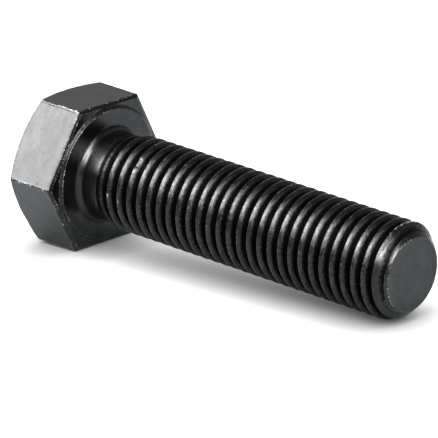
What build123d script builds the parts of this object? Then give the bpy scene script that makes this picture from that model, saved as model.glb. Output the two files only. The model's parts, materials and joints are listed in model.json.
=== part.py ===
from build123d import *
import math
import os

# Hex-head bolt, threaded over nearly its whole length. Millimetres.
# The part's frame: +X runs along the bolt's axis from the head to the point of the thread, the origin is the
# centre of the bearing face under the head, and +Z is square to one pair of the head's flats.

INCH = 25.4

# Thread: 3/4 in nominal, 10 threads to the inch, right hand, 60 degree form.
thread_diameter = 0.75 * INCH
threads_per_inch = 10
shank_length = 3.0 * INCH
flank_half_angle = 30.0
crest_phase = 0.05  # how far along a pitch the crest lies on the +Z side of the shank

# Head.
across_flats = 1.125 * INCH
head_height = 12.2
head_chamfer_angle = 30.0
head_chamfer_diameter = 0.95 * across_flats
washer_face_diameter = 0.95 * across_flats
washer_face_height = 0.45
washer_bevel_angle = 55.0  # lean of the washer face's rim from the bolt's axis
underhead_fillet = 1.3

# Plain neck between the head and the thread, and how the rolled thread dies out into it.
neck_length = 4.6
crest_rise_angle = 14.0
groove_end_angle = 25.0

# Point of the bolt.
point_diameter = 0.75 * thread_diameter
point_chamfer_angle = 45.0

# Thread form, worked out from the pitch. The neck keeps the diameter of the rolled blank.
pitch = INCH / threads_per_inch
crest_flat = pitch / 8
thread_depth = 0.61343 * pitch
crest_radius = thread_diameter / 2
root_radius = crest_radius - thread_depth
neck_radius = crest_radius - 0.32476 * pitch

# The ridge is sunk a little into the core so that the two join without a seam, and trimming shapes stand clear
# of the metal where they must not cut.
ridge_sink = 0.15
side_clearance = 0.6
end_clearance = 1.0
rise_overlap = 0.6 * pitch  # length of the thread's first, cut-down stretch that is swallowed by the neck


def slope(angle):
    """Rise over run of a line at an angle in degrees."""
    return math.tan(math.radians(angle))


# The threaded length: a core at the root radius with one helical ridge wound round it, both run on past the
# ends of the finished thread.
helix_start = (crest_phase - 1) * pitch
helix_turns = math.ceil((shank_length - helix_start) / pitch + 0.5)
crest_half = crest_flat / 2
base_half = crest_half + (thread_depth + ridge_sink) * slope(flank_half_angle)

with BuildPart() as threaded_shank:
    with BuildSketch(Plane.YZ.offset(helix_start - pitch)):
        Circle(root_radius)
    extrude(amount=(helix_turns + 2) * pitch)

    with BuildLine() as ridge_path:
        Helix(
            pitch=pitch,
            height=helix_turns * pitch,
            radius=root_radius,
            center=(helix_start, 0, 0),
            direction=(1, 0, 0),
        )
    ridge_start = ridge_path.line @ 0
    outward = (ridge_start - Vector(helix_start, 0, 0)).normalized()
    axial_plane = Plane(origin=ridge_start, x_dir=outward, z_dir=outward.cross(Vector(1, 0, 0)))
    with BuildSketch(axial_plane) as ridge_section:
        Polygon(
            (-ridge_sink, -base_half),
            (thread_depth, -crest_half),
            (thread_depth, crest_half),
            (-ridge_sink, base_half),
            align=None,
        )
    sweep(sections=ridge_section.sketch, path=ridge_path.line, is_frenet=True)

    # Cut to length, then trim to the space between the neck, where the crest climbs out of the blank, and the
    # chamfered point.
    outer = crest_radius + side_clearance
    rise_start = neck_length - rise_overlap
    rise_radius = neck_radius - rise_overlap * slope(crest_rise_angle)
    rise_end = rise_start + (outer - rise_radius) / slope(crest_rise_angle)
    point_radius = point_diameter / 2
    chamfer_start = shank_length - (outer - point_radius) / slope(point_chamfer_angle)
    split(bisect_by=Plane.YZ.offset(shank_length), keep=Keep.BOTTOM)
    split(bisect_by=Plane.YZ.offset(rise_start), keep=Keep.TOP)
    with BuildSketch(Plane.XY):
        Polygon(
            (rise_start - end_clearance, 0),
            (rise_start - end_clearance, rise_radius - end_clearance * slope(crest_rise_angle)),
            (rise_end, outer),
            (chamfer_start, outer),
            (shank_length + end_clearance, point_radius - end_clearance * slope(point_chamfer_angle)),
            (shank_length + end_clearance, 0),
            align=None,
        )
    revolve(axis=Axis.X, mode=Mode.INTERSECT)

# The head: a hexagon with two flats square to Z, its outer corners chamfered on a cone, and a round washer face.
with BuildPart() as head:
    with BuildSketch(Plane.YZ.offset(-head_height)):
        RegularPolygon(radius=across_flats / 2, side_count=6, major_radius=False)
    extrude(amount=head_height - washer_face_height)

    corner_radius = across_flats / 2 / math.cos(math.pi / 6)
    cone_reach = corner_radius + side_clearance
    top_radius = head_chamfer_diameter / 2
    cone_depth = (cone_reach - top_radius) * slope(head_chamfer_angle)
    with BuildSketch(Plane.XY):
        Polygon(
            (0, 0),
            (0, cone_reach),
            (-head_height + cone_depth, cone_reach),
            (-head_height, top_radius),
            (-head_height, 0),
            align=None,
        )
    revolve(axis=Axis.X, mode=Mode.INTERSECT)

    with BuildSketch(Plane.YZ.offset(-washer_face_height)):
        Circle(washer_face_diameter / 2)
    extrude(amount=washer_face_height, taper=washer_bevel_angle)

# The whole bolt is one forged piece: head, neck with its fillet, and threaded shank.
with BuildPart() as hex_bolt:
    add(head.part)
    groove_run = (neck_radius - root_radius + ridge_sink) / slope(groove_end_angle)
    with BuildSketch(Plane.XY):
        Polygon(
            (0, 0),
            (0, neck_radius),
            (neck_length, neck_radius),
            (neck_length + groove_run, root_radius - ridge_sink),
            (neck_length + groove_run, 0),
            align=None,
        )
    revolve(axis=Axis.X)
    bearing_edges = hex_bolt.edges().filter_by(GeomType.CIRCLE).group_by(lambda edge: abs(edge.center().X))[0]
    neck_ring = bearing_edges.sort_by(SortBy.RADIUS)[0]
    fillet(neck_ring, radius=underhead_fillet)
    add(threaded_shank.part)

hex_bolt.part.label = "hex_bolt"

os.makedirs("parts", exist_ok=True)
export_step(hex_bolt.part, "parts/hex_bolt.step")
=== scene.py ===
import json
import math
import random

import bmesh
import bpy
import numpy as np
from mathutils import Matrix, Vector, noise


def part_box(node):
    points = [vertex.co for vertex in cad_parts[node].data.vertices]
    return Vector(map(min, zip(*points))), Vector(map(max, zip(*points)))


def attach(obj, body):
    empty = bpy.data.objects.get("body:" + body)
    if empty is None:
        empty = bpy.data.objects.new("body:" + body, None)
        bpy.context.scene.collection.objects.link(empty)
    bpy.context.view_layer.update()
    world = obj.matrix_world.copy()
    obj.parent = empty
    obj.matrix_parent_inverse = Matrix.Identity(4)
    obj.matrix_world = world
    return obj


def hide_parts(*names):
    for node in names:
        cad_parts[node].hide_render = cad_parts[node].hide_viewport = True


# The looks of a black hex-head bolt. Lengths are millimetres until a mesh is made, then metres. The
# frame's +X runs from the head to the point of the thread, the origin is the centre of the bearing
# face, and +Z is square to one pair of the head's flats.
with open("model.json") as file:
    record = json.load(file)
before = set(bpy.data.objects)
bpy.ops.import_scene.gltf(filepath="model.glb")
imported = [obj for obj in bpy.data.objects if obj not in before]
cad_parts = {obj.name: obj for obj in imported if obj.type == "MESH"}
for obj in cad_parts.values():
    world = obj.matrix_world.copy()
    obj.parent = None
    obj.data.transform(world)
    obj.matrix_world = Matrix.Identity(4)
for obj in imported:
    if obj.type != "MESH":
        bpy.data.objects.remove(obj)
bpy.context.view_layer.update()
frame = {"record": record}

MM = 0.001
NODE = "hex_bolt"
LAP = 2 * math.pi

# Sizes read from the frame.
low, high = (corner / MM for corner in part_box(NODE))
HEAD_HEIGHT = -low.x
SHANK_LENGTH = high.x
HALF_FLATS = high.z
thread_mount = next(mount for mount in frame["record"]["mounts"] if mount["name"] == "thread")
CREST_RADIUS = thread_mount["dims"]["r_mm"]

# Thread: ten to the inch, right hand, 60 degree form, with the round crests and roots that rolling
# leaves. The neck has the diameter of the rolled blank.
PITCH = 2.54
FLANK_ANGLE = math.radians(60)
THREAD_DEPTH = 0.61343 * PITCH
ROOT_RADIUS = CREST_RADIUS - THREAD_DEPTH
NECK_RADIUS = CREST_RADIUS - 0.32476 * PITCH
CREST_ROUND = 0.4
ROOT_ROUND = 0.2
CREST_PHASE = 0.05
NECK_LENGTH = 4.6
CREST_RISE = math.tan(math.radians(14))
GROOVE_END = math.tan(math.radians(25))
RUN_OUT_BLEND = 0.12
FILLET = 1.3

# Point.
POINT_RADIUS = 0.75 * CREST_RADIUS
CHAMFER_START = SHANK_LENGTH - (CREST_RADIUS - POINT_RADIUS)
POINT_BLEND = 0.3
POINT_EDGE = 0.22
POINT_CHAMFER = math.radians(45)
FACE_DISH = 0.05

# Head.
TOP_RADIUS = 0.95 * HALF_FLATS
TOP_CHAMFER = math.tan(math.radians(30))
WASHER_HEIGHT = 0.45
WASHER_BASE = 0.95 * HALF_FLATS
WASHER_TOP = WASHER_BASE - WASHER_HEIGHT * math.tan(math.radians(55))
CORNER_ROUND = 0.45
RIM_WIDTH = 0.66
RIM_DROP = 0.25

# The head's six edges, from its top down: rounding and wear. They lie at the top's circle, the top of
# the flats, the bottom of the flats, the underside, and the outer and inner ends of the washer bevel.
EDGE_ROUNDS = (0.5, 0.25, 0.3, 0.12, 0.1, 0.12)
EDGE_WEAR = (0.5, 0.75, 0.72, 0.9, 0.75, 0.9)
CORNER_WEAR = 0.85
CORNER_WEAR_REACH = 0.06  # how far below the corners' full reach their worn lines go
POINT_WEAR = 0.75
CHAMFER_WEAR = 0.9
CHAMFER_WEAR_WIDTH = 0.7
WORN_SIDE = math.radians(170)  # the underside's edges are worn most at this angle
WORN_SIDE_SWING = 0.22

# How far down in a groove, from 0 to 1, the washer's bevel and the neck count for the finish. On the bevel
# this dulls its reflection: painted shade.
BEVEL_SHADE_DEPTH = 0.4
NECK_DEPTH = 0.1

# The thread's finish, by distance from the crest's line: where crest fades out and groove sets in. The
# groove's share, which starts past the neck, dulls the reflection between crests: painted shade.
CREST_FADE = (0.12, 0.32)
GROOVE_SHADE_FADE = (0.35, 0.85)
GROOVE_SHADE_START = (NECK_LENGTH, NECK_LENGTH + 0.8)

# Mesh density.
SHANK_COLUMNS = 150
SIDE_STEPS = 30
CORNER_STEPS = 6
EDGE_STEPS = 4
CREST_STEPS = 4
TOP_RINGS = 10
BEARING_RINGS = 5
FILLET_STEPS = 10
NECK_STEPS = 6
POINT_RINGS = 8
# Extra rings on the stretches between the head's edges, as shares of each stretch: the top, the
# chamfer, the flats, the rim, the underside, the washer bevel and the washer face.
STRETCH_RINGS = ([], np.linspace(0.25, 0.75, 3), np.linspace(0.03, 0.97, 19), [0.5], [0.5], [0.5], [])
FLATS = 2
BEVEL = 5
# Where one pattern of points hands over to the next: distances in from the rim of the top and of the
# washer face, out from the fillet's foot, back from the thread, and between a corner and its flats.
TOP_INSET = 1.2
HEAD_INSET = 0.5
SHANK_INSET = 0.9
FOOT_GAP = 0.08
THREAD_LEAD = 0.4
CORNER_GAP = 0.25

# Ageing of the surface: heights, and the sizes of their patterns. Chips are where the noise is above
# a level.
SWELL = 0.012
SWELL_SIZE = 3.5
EDGE_BURR = 0.04
CREST_BURR = 0.018
BURR_SIZE = 0.8
EDGE_CHIP = 0.16
CREST_CHIP = 0.05
CHIP_SIZE = 1.6
CHIP_LEVEL = 0.25

# Nicks on the crests. A nick is a hollow with a low lip round it, in shares of its width and depth.
NICK_REACH = 1.6
HOLLOW_FALL = 1.6
LIP_HEIGHT = 0.25
LIP_PLACE = 1.15
LIP_SPREAD = 0.05
SEED = 7
SMALL_NICKS = 26
NICK_PLACES = (9, SHANK_LENGTH - 4)
NICK_WIDTHS = (0.3, 0.6)
NICK_DEPTHS = (0.04, 0.12)
# Larger marks on the crests: place along the axis, angle in degrees, width and depth. The first is a
# dent, the others are scuffs.
MARKS = ((13.26, 132.5, 1.15, 0.26), (9.3, 179, 0.9, 0.03), (11.9, 184, 0.9, 0.03))

# Finish.
OXIDE_DARK = (0.0002, 0.00025, 0.0004)
OXIDE_BROWN = (0.0008, 0.0006, 0.0005)
BARE_STEEL = (0.38, 0.37, 0.36)
TINT_GREEN = (0.97, 1.0, 0.99)
TINT_VIOLET = (1.0, 0.97, 1.0)
WHITE = (1.0, 1.0, 1.0)

# Floor, in metres. It reaches further behind the head than past the point, so that its raised side
# doesn't hide the bolt from a low view of the point.
FLOOR_RADIUS = 0.9
FLOOR_SHIFT = 0.62
PAPER_DARK = (0.84, 0.84, 0.84)
PAPER_LIGHT = (0.87, 0.87, 0.87)
# The floor's painted contact shadow: how far ambient occlusion reaches, and the power it is raised to.
PAINTED_SHADOW_REACH = 0.0095
PAINTED_SHADOW_POWER = 1.25
GLOW_ON_BOLT = (0.74, 0.81, 0.84)
GLOW_SEEN = (1.06, 1.06, 1.06)

# Camera, from the side of the thread's point and a little above.
VIEW_AZIMUTH = math.radians(41.02)
VIEW_ELEVATION = math.radians(19.69)
VIEW_ROLL = math.radians(2.16)
VIEW_TARGET = Vector((28.62, 0.0, -1.75)) * MM
VIEW_DISTANCE = 0.9175
VIEW_LENS = 397.4

# Soft panels: name, azimuth and elevation in degrees, distance, width and height in metres, radiance.
BOLT_PANELS = (
    ("key_left", -60, 34, 0.8, 0.62, 0.46, 14),
    ("key_front", 0, 47, 0.8, 0.9, 0.44, 18.5),
    ("key_right", 62, 40, 0.8, 0.22, 0.6, 28),
    ("key_side", 86, 30, 0.8, 0.4, 0.36, 7),
)
FLOOR_PANEL = ("overhead", -30, 72, 1.1, 1.6, 1.6, 0.6)
PANEL_TARGET = Vector((0.03, 0, 0))

# The room round the bolt: brightest in one direction.
ROOM_TOWARDS = (-0.66, 0.70, 0.28)
ROOM_DIM = 0.06
ROOM_BRIGHT = 0.5


def smooth_min(a, b, blend):
    """The smaller of two heights, with the crease between them rounded over the blend width."""
    share = np.clip(0.5 + 0.5 * (b - a) / blend, 0, 1)
    return b * (1 - share) + a * share - blend * share * (1 - share)


def smooth_max(a, b, blend):
    """The larger of two heights, rounded in the same way."""
    return -smooth_min(-a, -b, blend)


def ramp(value, start, end):
    """Goes from 0 at the start to 1 at the end, and holds both."""
    return np.clip((value - start) / (end - start), 0, 1)


def thread_form():
    """Half of one turn's profile, crest centre to root centre: distances along the axis, and radii."""
    arc = np.linspace(0, FLANK_ANGLE, CREST_STEPS + 1)
    steps = list(CREST_ROUND * np.sin(arc))
    radii = list(CREST_RADIUS - CREST_ROUND * (1 - np.cos(arc)))
    # The root's arc touches the flank that leaves the crest.
    flank_run = PITCH / 2 - ROOT_ROUND * math.sin(FLANK_ANGLE) - steps[-1]
    flank_foot = radii[-1] - flank_run * math.tan(FLANK_ANGLE)
    root_centre = (PITCH / 2, flank_foot + ROOT_ROUND * math.cos(FLANK_ANGLE))
    steps.append(steps[-1] + flank_run / 2)
    radii.append(radii[-1] - flank_run / 2 * math.tan(FLANK_ANGLE))
    for angle in (FLANK_ANGLE, FLANK_ANGLE / 2, 0.0):
        steps.append(root_centre[0] - ROOT_ROUND * math.sin(angle))
        radii.append(root_centre[1] - ROOT_ROUND * math.cos(angle))
    return np.array(steps), np.array(radii)


FORM_STEPS, FORM_RADII = thread_form()


def thread_offset(x, angle):
    """Signed distance along the axis from the nearest crest, for points at an angle from +Y towards +Z."""
    turns = x / PITCH - CREST_PHASE - (angle / LAP - 0.25)
    return (turns - np.round(turns)) * PITCH


def nearest_crest(x, angle):
    """Where the crest nearest to x crosses an angle."""
    return x - float(thread_offset(np.float64(x), angle))


def shank_radius(x, angle):
    """Radius of the neck, the thread and the point's chamfer."""
    radius = np.interp(np.abs(thread_offset(x, angle)), FORM_STEPS, FORM_RADII)
    floor = NECK_RADIUS - (x - NECK_LENGTH) * GROOVE_END
    ceiling = NECK_RADIUS + (x - NECK_LENGTH) * CREST_RISE
    radius = smooth_max(radius, floor, RUN_OUT_BLEND)
    radius = smooth_min(radius, ceiling, RUN_OUT_BLEND)
    radius = np.where(x < NECK_LENGTH, NECK_RADIUS, np.maximum(radius, ROOT_RADIUS))
    return smooth_min(radius, POINT_RADIUS + (SHANK_LENGTH - x), POINT_BLEND)


class Skin:
    """The bolt's closed skin: points in millimetres and faces. Each point also says, from 0 to 1, how
    far it is on a worn edge, on a crest of the thread, and down in a groove."""

    def __init__(self):
        self.points = []
        self.wear = []
        self.crest = []
        self.depth = []
        self.faces = []

    def ring(self, x, radii, angles, wear=0.0, depth=0.0):
        """Adds one ring of points at a place along the axis, and returns their numbers."""
        start = len(self.points)
        x = np.broadcast_to(x, np.shape(angles))
        radii = np.broadcast_to(radii, np.shape(angles))
        self.points += zip(x, radii * np.cos(angles), radii * np.sin(angles))
        self.wear += list(np.broadcast_to(wear, np.shape(angles)))
        self.crest += [0.0] * len(angles)
        self.depth += [depth] * len(angles)
        return list(range(start, start + len(angles)))

    def bridge(self, rings):
        """Quads between each ring and the next, all of the same count."""
        for first, second in zip(rings, rings[1:]):
            count = len(first)
            for i in range(count):
                j = (i + 1) % count
                self.faces.append((first[i], first[j], second[j], second[i]))

    def zip_rings(self, first, first_angles, second, second_angles):
        """Triangles between two rings of different counts, both once round from their first angle."""
        i = j = 0
        a, b = len(first), len(second)
        while i < a or j < b:
            next_i = first_angles[(i + 1) % a] + LAP * ((i + 1) // a)
            next_j = second_angles[(j + 1) % b] + LAP * ((j + 1) // b)
            if j >= b or (i < a and next_i <= next_j):
                self.faces.append((first[i % a], first[(i + 1) % a], second[j % b]))
                i += 1
            else:
                self.faces.append((first[i % a], second[(j + 1) % b], second[j % b]))
                j += 1

    def cap(self, ring, x):
        """A fan from one point on the axis."""
        centre = len(self.points)
        self.points.append((x, 0.0, 0.0))
        for values in (self.wear, self.crest, self.depth):
            values.append(0.0)
        count = len(ring)
        for i in range(count):
            self.faces.append((ring[i], ring[(i + 1) % count], centre))


def thread_finish(x, angles, radii):
    """Wear, crest and depth of points on the thread."""
    offset = np.abs(thread_offset(x, angles))
    climb = ramp(radii, NECK_RADIUS, CREST_RADIUS)
    crest = (1 - ramp(offset, *CREST_FADE)) * climb
    # Down in a groove counts from the crests' height, and also from the distance to the crest, so that the
    # shallow start of the thread is dulled between its crests too: painted shade, as if the grooves there
    # were deep.
    top = np.minimum(CREST_RADIUS, POINT_RADIUS + SHANK_LENGTH - x)
    sunk = ramp(top - radii, 0, THREAD_DEPTH) * (x > NECK_LENGTH)
    between = ramp(offset, *GROOVE_SHADE_FADE) * ramp(x, *GROOVE_SHADE_START)
    depth = np.maximum(sunk, 0.5 * between) * (x < SHANK_LENGTH - 0.5)
    # The crests are worn where the point's chamfer cuts them.
    wear = CHAMFER_WEAR * (1 - ramp(np.abs(x - CHAMFER_START), 0, CHAMFER_WEAR_WIDTH))
    return wear * (crest > 0.2), crest, depth


def thread_band(skin, first_ring, last_ring, start, end):
    """Fills the shank between two rings with a grid whose rows follow the helix, so crests stay crisp."""
    turn_rows = np.concatenate([-FORM_STEPS[1:-1][::-1], FORM_STEPS])
    rows_per_turn = len(turn_rows)
    first_turn = math.floor(start / PITCH) - 2
    turns = math.ceil((end - start) / PITCH) + 4
    angles = np.arange(SHANK_COLUMNS) * LAP / SHANK_COLUMNS
    crests = (first_turn + np.arange(turns) + CREST_PHASE % 1 - 0.25) * PITCH
    rows = (crests[:, None] + turn_rows[None, :]).ravel()
    x = rows[:, None] + PITCH * angles[None, :] / LAP
    radii = shank_radius(x, angles[None, :])
    wear, crest, depth = thread_finish(x, angles[None, :], radii)
    # Points close to either ring, or past it, are taken over by the ring's own points.
    snap = 0.05
    inside = (x > start + snap) & (x < end - snap)
    number = np.where(x <= start + snap, np.array(first_ring)[None, :], np.array(last_ring)[None, :])
    number[inside] = len(skin.points) + np.arange(int(inside.sum()))
    y = radii * np.cos(angles)[None, :]
    z = radii * np.sin(angles)[None, :]
    skin.points += list(zip(x[inside], y[inside], z[inside]))
    skin.wear += list(wear[inside])
    skin.crest += list(crest[inside])
    skin.depth += list(depth[inside])
    # Past the last column the grid meets its own first column one turn further on.
    lapped = np.vstack([number[rows_per_turn:, :1], np.full((rows_per_turn, 1), last_ring[0])])
    number = np.hstack([number, lapped])
    corners = np.stack([number[:-1, :-1], number[1:, :-1], number[1:, 1:], number[:-1, 1:]], axis=-1)
    for quad in corners.reshape(-1, 4).tolist():
        face = tuple(dict.fromkeys(quad))
        if len(face) > 2:
            skin.faces.append(face)


def rounded(points, rounds):
    """A path of (x, radius) points with each inner corner turned into an arc of its own radius."""
    path = [points[0]]
    for before, corner, after, size in zip(points, points[1:], points[2:], rounds):
        p, c, q = (np.array(v, float) for v in (before, corner, after))
        to_p = np.linalg.norm(p - c)
        to_q = np.linalg.norm(q - c)
        back = (p - c) / to_p
        on = (q - c) / to_q
        half_turn = (math.pi - math.acos(np.clip(back @ on, -1, 1))) / 2
        size = min(size, 0.45 * min(to_p, to_q) / math.tan(half_turn))
        middle = c + (back + on) / np.linalg.norm(back + on) * size / math.cos(half_turn)
        axis = (c - middle) / np.linalg.norm(c - middle)
        side = np.array([-axis[1], axis[0]])
        if side @ on < 0:
            side = -side
        for i in range(EDGE_STEPS + 1):
            turn = half_turn * (2 * i / EDGE_STEPS - 1)
            path.append(tuple(middle + size * (axis * math.cos(turn) + side * math.sin(turn))))
    path.append(points[-1])
    return path


def hexagon_outline():
    """Radius, angle and wear of each column round the hexagon, whose corners are rounded."""
    corner_distance = HALF_FLATS / math.cos(math.pi / 6)
    centre_distance = corner_distance - CORNER_ROUND / math.cos(math.pi / 6)
    half_side = corner_distance / 2 - CORNER_ROUND * math.tan(math.pi / 6)
    beside = half_side - CORNER_GAP
    places = []
    for corner in range(6):
        at = corner * math.pi / 3
        for i in range(CORNER_STEPS + 1):
            turn = at + math.radians(30) * (2 * i / CORNER_STEPS - 1)
            out = centre_distance * math.cos(at) + CORNER_ROUND * math.cos(turn)
            up = centre_distance * math.sin(at) + CORNER_ROUND * math.sin(turn)
            places.append((out, up))
        facing = at + math.pi / 6
        for along in np.linspace(-beside, beside, SIDE_STEPS + 1):
            out = HALF_FLATS * math.cos(facing) - along * math.sin(facing)
            up = HALF_FLATS * math.sin(facing) + along * math.cos(facing)
            places.append((out, up))
    places = np.array(places)
    angles = np.unwrap(np.arctan2(places[:, 1], places[:, 0]))
    reaches = np.hypot(places[:, 0], places[:, 1])
    return reaches, angles, CORNER_WEAR * (reaches > reaches.max() - CORNER_WEAR_REACH)


def head_profile(reach):
    """The head's outline in the plane of one column, from its top down to the washer face."""
    top = -HEAD_HEIGHT
    corners = [
        (top, TOP_RADIUS - TOP_INSET),
        (top, TOP_RADIUS),
        (top + (reach - TOP_RADIUS) * TOP_CHAMFER, reach),
        (-WASHER_HEIGHT - RIM_DROP, reach),
        (-WASHER_HEIGHT, reach * (HALF_FLATS - RIM_WIDTH) / HALF_FLATS),
        (-WASHER_HEIGHT, WASHER_BASE),
        (0.0, WASHER_TOP),
        (0.0, WASHER_TOP - HEAD_INSET),
    ]
    return rounded(corners, EDGE_ROUNDS)


def head_rings(skin):
    """The head from the middle of its top over the chamfer, down the flats and in to the bearing face."""
    outline, angles, corner_wear = hexagon_outline()
    columns = np.array([head_profile(reach) for reach in outline])
    worn_side = 1 - WORN_SIDE_SWING * (1 - np.cos(angles - WORN_SIDE))
    top, top_inner = columns[0, 0]
    numbers = []
    for i in range(1, TOP_RINGS + 1):
        numbers.append(skin.ring(top, top_inner * i / (TOP_RINGS + 1), angles))
    numbers.append(skin.ring(top, top_inner, angles))
    # Each edge is an arc of rings, and extra rings cross the straight stretch that follows it.
    arc = EDGE_STEPS + 1
    for step in range(1, columns.shape[1]):
        edge, on_arc = divmod(step - 1, arc)
        here = columns[:, step]
        if step == columns.shape[1] - 1:
            wear = 0.0
        else:
            wear = EDGE_WEAR[edge] * (worn_side if edge > FLATS else 1.0)
        numbers.append(skin.ring(here[:, 0], here[:, 1], angles, wear))
        if on_arc < arc - 1:
            continue
        stretch = edge + 1
        there = columns[:, step + 1]
        for share in STRETCH_RINGS[stretch]:
            between = here + (there - here) * share
            wear = corner_wear if stretch == FLATS else 0.0
            # The washer's bevel counts as deep in a groove, which dulls its reflection: painted shade.
            depth = BEVEL_SHADE_DEPTH if stretch == BEVEL else 0.0
            numbers.append(skin.ring(between[:, 0], between[:, 1], angles, wear, depth))
    skin.cap(numbers[0], top)
    skin.bridge(numbers)
    return numbers[-1], angles


def shank_rings(skin, head_ring, head_angles):
    """Bearing face, fillet, neck, thread and point."""
    angles = np.arange(SHANK_COLUMNS) * LAP / SHANK_COLUMNS
    rings = []
    fillet_foot = NECK_RADIUS + FILLET
    for radius in np.linspace(WASHER_TOP - SHANK_INSET, fillet_foot + FOOT_GAP, BEARING_RINGS):
        rings.append(skin.ring(0.0, radius, angles))
    skin.zip_rings(head_ring, head_angles - head_angles[0], rings[0], angles)
    for i in range(FILLET_STEPS + 1):
        turn = math.pi / 2 * i / FILLET_STEPS
        x = FILLET * (1 - math.cos(turn))
        rings.append(skin.ring(x, NECK_RADIUS + FILLET * (1 - math.sin(turn)), angles))
    thread_start = NECK_LENGTH - THREAD_LEAD
    for x in np.linspace(FILLET, thread_start, NECK_STEPS + 1)[1:]:
        rings.append(skin.ring(x, NECK_RADIUS, angles, depth=NECK_DEPTH))
    skin.bridge(rings)
    # The point: the edge of the end face is a small arc between the chamfer and the face.
    reach = POINT_EDGE * math.tan(POINT_CHAMFER / 2)
    thread_end = SHANK_LENGTH - POINT_EDGE * (1 - math.cos(POINT_CHAMFER))
    edge = []
    for i in range(EDGE_STEPS + 1):
        turn = POINT_CHAMFER * (1 - i / EDGE_STEPS)
        x = SHANK_LENGTH - POINT_EDGE + POINT_EDGE * math.cos(turn)
        radius = POINT_RADIUS - reach + POINT_EDGE * math.sin(turn)
        edge.append(skin.ring(x, radius, angles, POINT_WEAR))
    thread_band(skin, rings[-1], edge[0], thread_start, thread_end)
    for i in range(1, POINT_RINGS + 1):
        share = 1 - i / (POINT_RINGS + 1)
        radius = (POINT_RADIUS - reach) * share
        edge.append(skin.ring(SHANK_LENGTH - FACE_DISH * (1 - share**4), radius, angles))
    skin.bridge(edge)
    skin.cap(edge[-1], SHANK_LENGTH - FACE_DISH)


def smooth_noise(point, size, seed):
    """Gradient noise of about -1 to 1 whose features are about size millimetres wide. Each seed reads
    another part of the noise."""
    shift = Vector((seed * 17.3, seed * 5.1, seed * 11.7))
    return noise.noise(Vector(point) / size + shift)


def place_nicks():
    """Marks on the thread's crests: place along the axis, angle, width and depth."""
    dice = random.Random(SEED)
    nicks = []
    for x, angle, width, dent in MARKS:
        angle = math.radians(angle)
        nicks.append((nearest_crest(x, angle), angle, width, dent))
    for _ in range(SMALL_NICKS):
        angle = dice.uniform(0, LAP)
        x = nearest_crest(dice.uniform(*NICK_PLACES), angle)
        nicks.append((x, angle, dice.uniform(*NICK_WIDTHS), dice.uniform(*NICK_DEPTHS)))
    return nicks


def nick_shape(apart):
    """Height of a nick, as a share of its depth, at a distance from its middle over its width."""
    lip = LIP_HEIGHT * np.exp(-((apart - LIP_PLACE) ** 2) / LIP_SPREAD)
    return lip - np.exp(-apart**2 * HOLLOW_FALL)


def age_surface(mesh, wear, crest, depth):
    """Moves points along their normals: wavy forged flats, burred crests, ragged head edges, nicks.
    Nicks also wear the surface round them."""
    count = len(mesh.vertices)
    points = np.empty(count * 3)
    mesh.vertices.foreach_get("co", points)
    points = points.reshape(-1, 3) / MM
    normals = np.empty(count * 3)
    mesh.vertex_normals.foreach_get("vector", normals)
    normals = normals.reshape(-1, 3)
    move = np.zeros(count)
    for i, point in enumerate(points):
        swell = SWELL * smooth_noise(point, SWELL_SIZE, 1)
        burr = (EDGE_BURR * wear[i] + CREST_BURR * crest[i]) * smooth_noise(point, BURR_SIZE, 2)
        chips = max(0.0, smooth_noise(point, CHIP_SIZE, 3) - CHIP_LEVEL)
        move[i] = swell + burr - (EDGE_CHIP * wear[i] + CREST_CHIP * crest[i]) * chips
    angles = np.arctan2(points[:, 2], points[:, 1])
    radii = np.hypot(points[:, 1], points[:, 2])
    on_thread = (points[:, 0] > NECK_LENGTH) & (points[:, 0] < SHANK_LENGTH - 1)
    for x, angle, width, dent in place_nicks():
        around = (angles - angle + math.pi) % LAP - math.pi
        apart = np.hypot(points[:, 0] - x, around * radii) / width
        near = on_thread & (apart < NICK_REACH) & (depth < 0.5)
        move[near] += (dent * nick_shape(apart))[near]
        wear[near] = np.maximum(wear, np.exp(-apart**2))[near]
    points += normals * move[:, None]
    mesh.vertices.foreach_set("co", (points * MM).ravel())
    mesh.update()


def build_bolt():
    """The whole bolt as one closed mesh, with its wear, crest and depth kept for the finish."""
    skin = Skin()
    head_ring, head_angles = head_rings(skin)
    shank_rings(skin, head_ring, head_angles)
    mesh = bpy.data.meshes.new("bolt")
    mesh.from_pydata([tuple(c * MM for c in p) for p in skin.points], [], skin.faces)
    mesh.validate()
    mesh.polygons.foreach_set("use_smooth", [True] * len(mesh.polygons))
    work = bmesh.new()
    work.from_mesh(mesh)
    bmesh.ops.recalc_face_normals(work, faces=work.faces)
    work.to_mesh(mesh)
    work.free()
    wear, crest, depth = (np.array(values) for values in (skin.wear, skin.crest, skin.depth))
    age_surface(mesh, wear, crest, depth)
    for name, values in (("wear", wear), ("crest", crest), ("depth", depth)):
        layer = mesh.attributes.new(name, "FLOAT", "POINT")
        layer.data.foreach_set("value", values.astype(np.float32))
    bolt = bpy.data.objects.new("bolt_body", mesh)
    bpy.context.scene.collection.objects.link(bolt)
    return bolt


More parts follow.
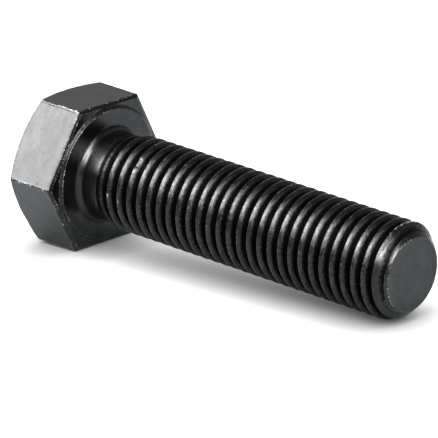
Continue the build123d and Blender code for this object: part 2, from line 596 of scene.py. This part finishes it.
class Graph:
    """Short hand for building a material's or a world's node tree."""

    def __init__(self, tree):
        self.tree = tree

    def node(self, kind, inputs=None, **settings):
        """Adds a node. Each input is a value or another node's socket."""
        node = self.tree.nodes.new("ShaderNode" + kind)
        for name, value in settings.items():
            setattr(node, name, value)
        for key, value in (inputs or {}).items():
            if isinstance(value, bpy.types.NodeSocket):
                self.tree.links.new(value, node.inputs[key])
            else:
                node.inputs[key].default_value = value
        return node

    def feed(self, shader, sockets):
        """Links sockets to a shader's inputs by name."""
        for name, socket in sockets.items():
            self.tree.links.new(socket, shader.inputs[name])

    def math(self, operation, first, second=0.0):
        return self.node("Math", {0: first, 1: second}, operation=operation).outputs[0]

    def combine(self, operation, values):
        """Applies a sum or a product to a whole list of values."""
        total = values[0]
        for value in values[1:]:
            total = self.math(operation, total, value)
        return total

    def attribute(self, name):
        return self.node("Attribute", attribute_name=name).outputs["Fac"]

    def noise(self, place, scale, detail=3.0, roughness=0.55):
        inputs = {"Vector": place, "Scale": scale, "Detail": detail, "Roughness": roughness}
        return self.node("TexNoise", inputs).outputs["Fac"]

    def spread(self, value, low_in, high_in, low_out, high_out):
        """Maps a range of values to another, and holds both ends."""
        inputs = {
            "Value": value,
            "From Min": low_in,
            "From Max": high_in,
            "To Min": low_out,
            "To Max": high_out,
        }
        return self.node("MapRange", inputs).outputs[0]

    def mix(self, share, first, second):
        """Blends two colours. A Mix node's colour sockets have numbers, because their names repeat."""
        node = self.node("Mix", {"Factor": share}, data_type="RGBA")
        for socket, colour in ((node.inputs[6], first), (node.inputs[7], second)):
            if isinstance(colour, bpy.types.NodeSocket):
                self.tree.links.new(colour, socket)
            else:
                socket.default_value = (*colour, 1)
        return node.outputs[2]

    def stretch(self, place, scale):
        """Scales each part of a vector by its own factor."""
        return self.node("VectorMath", {0: place, 1: scale}, operation="MULTIPLY").outputs[0]

    def place_in_mm(self):
        """The point on the object, in millimetres."""
        return self.stretch(self.node("TexCoord").outputs["Object"], (1 / MM,) * 3)

    def bump(self, height, reach, normal=None):
        """Bump whose height is given in millimetres."""
        inputs = {"Height": height, "Distance": reach * MM}
        if normal is not None:
            inputs["Normal"] = normal
        return self.node("Bump", inputs).outputs[0]


def new_material(name):
    """A material with its node graph and its main shader."""
    material = bpy.data.materials.new(name)
    material.use_nodes = True
    return material, Graph(material.node_tree), material.node_tree.nodes["Principled BSDF"]


def black_oxide():
    """Black oxide on forged and rolled steel: near black and mottled, with bright specks where it is
    worn off edges and crests."""
    material, graph, shader = new_material("black_oxide")
    place = graph.place_in_mm()
    wear, crest, depth = (graph.attribute(name) for name in ("wear", "crest", "depth"))

    cloud = graph.noise(place, 0.28, 4, 0.6)
    mottle = graph.noise(place, 0.8, 4, 0.6)
    grain = graph.noise(place, 2.4, 5, 0.8)
    speckle = graph.noise(place, 2.0, 2, 0.6)
    streak = graph.noise(graph.stretch(place, (0.8, 0.14, 0.14)), 1.0, 3, 0.6)
    pit_cells = graph.node("TexVoronoi", {"Vector": place, "Scale": 0.7, "Randomness": 1.0})
    pits = graph.spread(pit_cells.outputs["Distance"], 0.05, 0.12, 1.0, 0.0)
    flank = graph.spread(depth, 0.03, 0.3, 0.0, 1.0)

    # Bare metal shows where wear and grain together pass a threshold: ragged on edges, odd specks on
    # crests.
    lumps = graph.spread(grain, 0.3, 0.7, -0.5, 0.5)
    rubbed = graph.math("MAXIMUM", wear, graph.math("MULTIPLY", crest, 0.66))
    rubbed = graph.math("MULTIPLY", rubbed, graph.spread(cloud, 0.35, 0.65, 0.8, 1.2))
    bare = graph.spread(graph.math("ADD", rubbed, lumps), 0.95, 1.2, 0.0, 1.0)

    colour = graph.mix(bare, graph.mix(cloud, OXIDE_DARK, OXIDE_BROWN), BARE_STEEL)
    tint = graph.mix(graph.spread(mottle, 0.35, 0.65, 0.0, 1.0), TINT_GREEN, TINT_VIOLET)

    # The rolled thread, crests and flanks, is speckled. Pits are dull. Down in the grooves, and on the
    # washer's bevel, the reflection is turned down to a twentieth: painted shade.
    on_thread = graph.math("MAXIMUM", flank, crest)
    shine_with_groove_shade = graph.combine(
        "MULTIPLY",
        [
            graph.spread(streak, 0.3, 0.7, 0.43, 0.53),
            graph.spread(mottle, 0.3, 0.7, 0.93, 1.06),
            graph.spread(cloud, 0.35, 0.65, 0.86, 1.12),
            # Painted shade: the reflection falls away with depth in a groove.
            graph.spread(depth, 0.18, 0.5, 1.0, 0.05),
            graph.spread(pits, 0.0, 1.0, 1.0, 0.5),
            graph.mix(on_thread, WHITE, graph.spread(speckle, 0.36, 0.64, 0.42, 1.6)),
        ],
    )
    rough = graph.combine(
        "ADD",
        [
            graph.spread(cloud, 0.3, 0.7, 0.2, 0.28),
            graph.spread(depth, 0.1, 0.8, 0.0, 0.1),
            graph.spread(grain, 0.3, 0.7, -0.02, 0.03),
            graph.math("MULTIPLY", bare, 0.25),
        ],
    )

    # Bump: forging waves, pits, and a sandy grain that is strongest on edges and the thread's flanks.
    waves = graph.bump(mottle, 0.012)
    pitted = graph.bump(graph.math("MULTIPLY", pits, -1.0), 0.012, waves)
    sand = graph.math("MAXIMUM", graph.math("MAXIMUM", wear, flank), graph.math("MULTIPLY", crest, 0.6))
    sand_height = graph.math("MULTIPLY", grain, graph.spread(sand, 0.0, 1.0, 0.001, 0.07))
    graph.feed(
        shader,
        {
            "Base Color": colour,
            "Metallic": graph.math("MULTIPLY", bare, 0.6),
            "Specular Tint": tint,
            "Specular IOR Level": shine_with_groove_shade,
            "Roughness": rough,
            "Normal": graph.bump(sand_height, 1.0, pitted),
        },
    )
    return material


def pale_paper():
    """White paper. It glows a little so that shadows stay soft, but ambient occlusion darkens its glow
    close to
    what stands on it: a painted contact shadow. It glows less, and bluish, for the bolt's reflections than
    for the camera."""
    material, graph, shader = new_material("paper")
    camera = graph.node("LightPath").outputs["Is Camera Ray"]
    fibre = graph.noise(graph.place_in_mm(), 0.5)
    # Ambient occlusion darkens the glow close to the bolt: a painted contact shadow.
    near = graph.node("AmbientOcclusion", {"Distance": PAINTED_SHADOW_REACH}, samples=8).outputs["AO"]
    near = graph.math("POWER", near, PAINTED_SHADOW_POWER)
    glow = graph.mix(camera, GLOW_ON_BOLT, GLOW_SEEN)
    graph.feed(
        shader,
        {
            "Base Color": graph.mix(graph.spread(fibre, 0.3, 0.7, 0, 1), PAPER_DARK, PAPER_LIGHT),
            "Emission Color": graph.mix(near, (0, 0, 0), glow),
        },
    )
    shader.inputs["Roughness"].default_value = 0.8
    shader.inputs["Emission Strength"].default_value = 1.0
    return material


def add_floor():
    """The floor, tilted in the frame because the bolt lies on its head's edge and its thread's end."""
    rest_head = Vector((-WASHER_HEIGHT, 0, -HALF_FLATS))
    rest_point = Vector((CHAMFER_START, 0, -CREST_RADIUS))
    tilt = math.atan2(rest_point.z - rest_head.z, rest_point.x - rest_head.x)
    bpy.ops.mesh.primitive_circle_add(vertices=96, radius=FLOOR_RADIUS, fill_type="NGON")
    floor = bpy.context.object
    floor.name = "floor"
    floor.location = rest_head * MM - Vector((math.cos(tilt), 0, math.sin(tilt))) * FLOOR_SHIFT
    floor.rotation_euler = (0, -tilt, 0)
    floor.data.materials.append(pale_paper())
    return floor


def direction(azimuth, elevation):
    """Unit vector from the bolt towards a viewer. Azimuth 0 is the -Y side and 90 degrees the +X side."""
    flat = math.cos(elevation)
    return Vector((flat * math.sin(azimuth), -flat * math.cos(azimuth), math.sin(elevation)))


def add_camera():
    data = bpy.data.cameras.new("camera")
    data.lens = VIEW_LENS
    data.sensor_width = 36
    data.clip_end = 20
    camera = bpy.data.objects.new("camera", data)
    towards = direction(VIEW_AZIMUTH, VIEW_ELEVATION)
    turn = (-towards).to_track_quat("-Z", "Y").to_matrix().to_4x4()
    camera.matrix_world = (
        Matrix.Translation(VIEW_TARGET + towards * VIEW_DISTANCE)
        @ turn
        @ Matrix.Rotation(VIEW_ROLL, 4, "Z")
    )
    bpy.context.scene.collection.objects.link(camera)
    bpy.context.scene.camera = camera


def only_for(name, thing):
    """A collection of one object, which a light is limited to."""
    collection = bpy.data.collections.new(name)
    collection.objects.link(thing)
    return collection


def add_panel(name, azimuth, elevation, distance, width, height, radiance, lit):
    """A soft panel facing the bolt, which lights one collection and leaves the rest alone."""
    data = bpy.data.lights.new(name, "AREA")
    data.shape = "RECTANGLE"
    data.size = width
    data.size_y = height
    data.energy = radiance * width * height * math.pi
    light = bpy.data.objects.new(name, data)
    towards = direction(math.radians(azimuth), math.radians(elevation))
    light.location = PANEL_TARGET + towards * distance
    light.rotation_euler = (-towards).to_track_quat("-Z", "Y").to_euler()
    bpy.context.scene.collection.objects.link(light)
    light.light_linking.receiver_collection = lit


def add_world():
    """White behind the bolt for the camera, and a dim room, lighter on one side, for its reflections."""
    world = bpy.data.worlds.new("studio")
    world.use_nodes = True
    bpy.context.scene.world = world
    graph = Graph(world.node_tree)
    towards = graph.node("TexCoord").outputs["Generated"]
    side = graph.node("VectorMath", {0: towards, 1: ROOM_TOWARDS}, operation="DOT_PRODUCT")
    strength = graph.spread(side.outputs["Value"], 0.0, 1.0, ROOM_DIM, ROOM_BRIGHT)
    room = graph.node("Background", {"Color": (*WHITE, 1), "Strength": strength})
    seen = graph.node("Background", {"Color": (*WHITE, 1), "Strength": 1.0})
    camera = graph.node("LightPath").outputs["Is Camera Ray"]
    choose = graph.node("MixShader", {0: camera, 1: room.outputs[0], 2: seen.outputs[0]})
    graph.feed(world.node_tree.nodes["World Output"], {"Surface": choose.outputs[0]})


bolt = build_bolt()
bolt.data.materials.append(black_oxide())
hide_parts(NODE)
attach(bolt, "root")

floor = add_floor()

add_camera()
lit_bolt = only_for("lit_bolt", bolt)
lit_floor = only_for("lit_floor", floor)
for panel in BOLT_PANELS:
    add_panel(*panel, lit_bolt)
add_panel(*FLOOR_PANEL, lit_floor)
add_world()
bpy.context.scene.view_settings.view_transform = "Standard"
